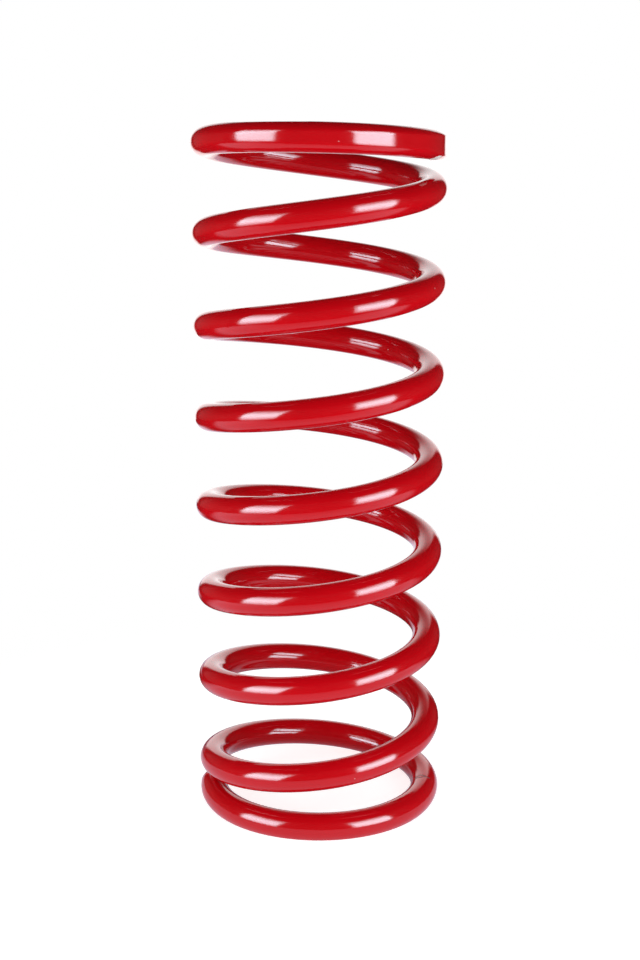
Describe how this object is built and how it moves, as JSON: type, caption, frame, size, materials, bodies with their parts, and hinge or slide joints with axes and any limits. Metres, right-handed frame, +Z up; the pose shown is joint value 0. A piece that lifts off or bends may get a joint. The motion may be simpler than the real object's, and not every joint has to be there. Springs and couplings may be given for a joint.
{
  "type": "suspension coil spring",
  "caption": "Cylindrical steel compression spring of round wire with closed ends and a glossy red coat, for carrying a vehicle corner round a damper.",
  "frame": {"origin": "on the coil axis, in the plane of the lower seat", "axes": "+Z up along the coil axis, +X towards the upper wire tip, the lower wire tip at -X"},
  "size_m": [0.082, 0.082, 0.226],
  "materials": {
    "red_coat": "glossy red enamel baked on spring steel"
  },
  "bodies": {
    "root": {"coil_spring": "red_coat"}
  },
  "joints": []
}
